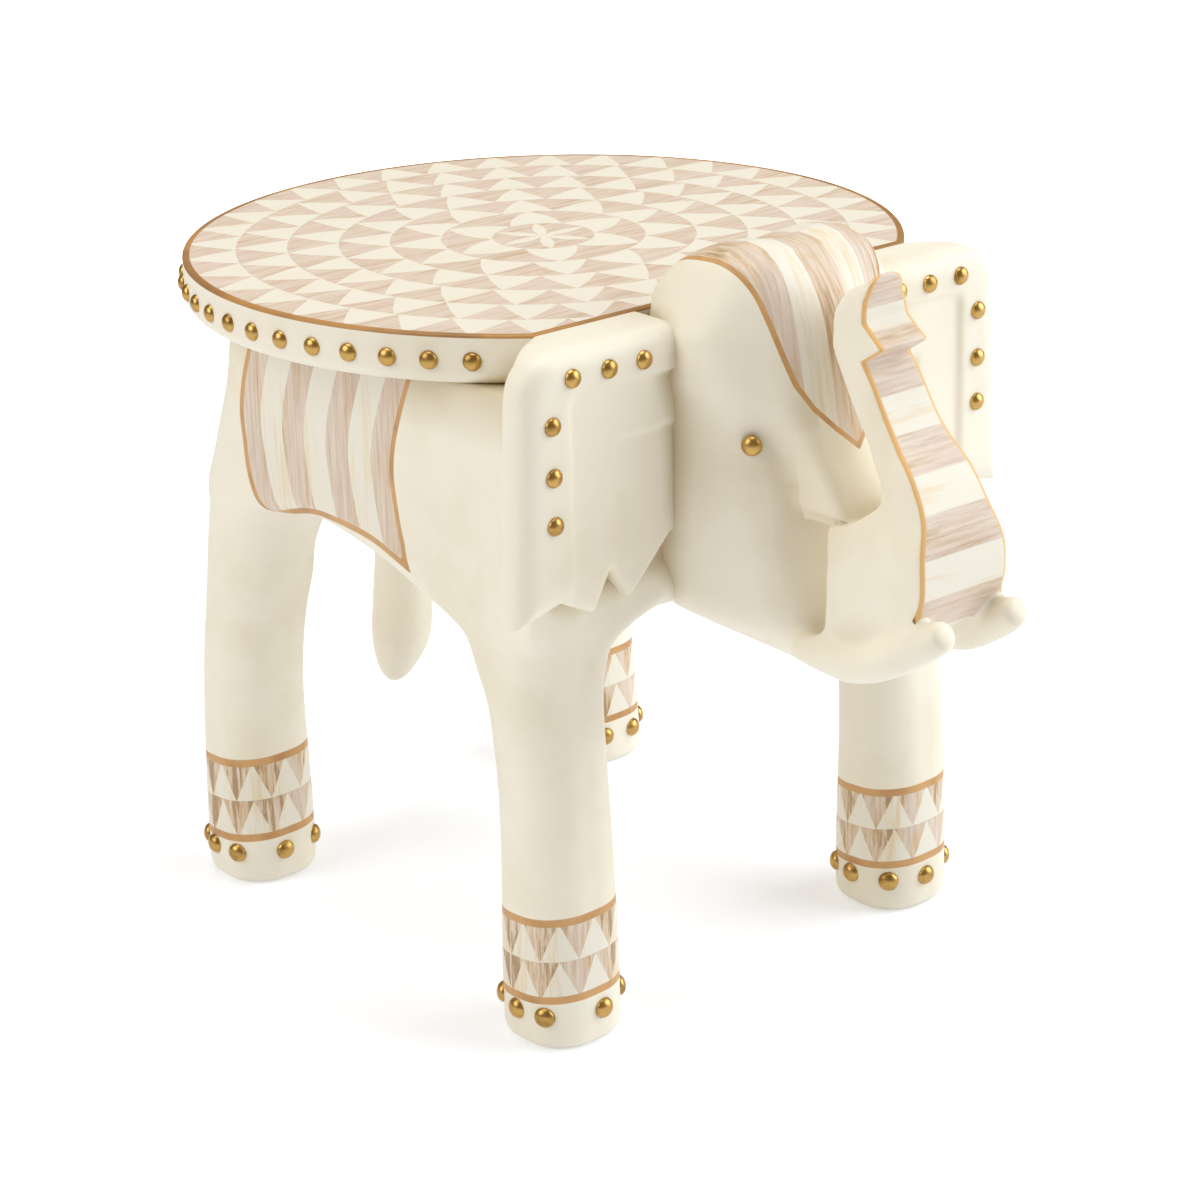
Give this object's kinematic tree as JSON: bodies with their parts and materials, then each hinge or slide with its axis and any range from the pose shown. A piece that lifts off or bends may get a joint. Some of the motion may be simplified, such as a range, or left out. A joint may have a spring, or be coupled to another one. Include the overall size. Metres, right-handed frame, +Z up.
{
  "type": "carved animal stool",
  "caption": "Low wooden stool carved as an elephant, with a round seat board, four legs, a raised trunk, tusks, square ears and domed nail trim.",
  "frame": {"origin": "middle of the stool's footprint rectangle, on the floor", "axes": "+Z up; -Y is the way the elephant faces; +X is the elephant's left; x = 0 is the plane about which its halves mirror each other, but for the rear left foot"},
  "size_m": [0.3862, 0.5172, 0.405],
  "materials": {
    "painted_seat": "hand-painted cream and taupe, satin varnish",
    "painted_body": "hand-painted cream with taupe stripes and gold lines, satin varnish",
    "brass_nails": "polished, slightly antiqued",
    "bare_wood": "planed, unpainted"
  },
  "bodies": {
    "root": {"seat_board": "painted_seat", "torso": "painted_body", "leg_front_left": "painted_body", "leg_front_right": "painted_body", "leg_rear_left": "painted_body", "leg_rear_right": "painted_body", "head": "painted_body", "ear_left": "painted_body", "ear_right": "painted_body", "trunk": "painted_body", "tusk_left": "painted_body", "tusk_right": "painted_body", "tail": "painted_body", "seat_rim_nails": "brass_nails", "ear_nails_left": "brass_nails", "ear_nails_right": "brass_nails", "eye_nails": "brass_nails", "ankle_nails_front_left": "brass_nails", "ankle_nails_front_right": "brass_nails", "ankle_nails_rear_left": "brass_nails", "ankle_nails_rear_right": "brass_nails", "leg_tenons": "bare_wood", "seat_tenons": "bare_wood", "head_tenons": "bare_wood", "ear_tenons": "bare_wood", "trunk_tenon": "bare_wood", "tail_tenon": "bare_wood"}
  },
  "joints": []
}
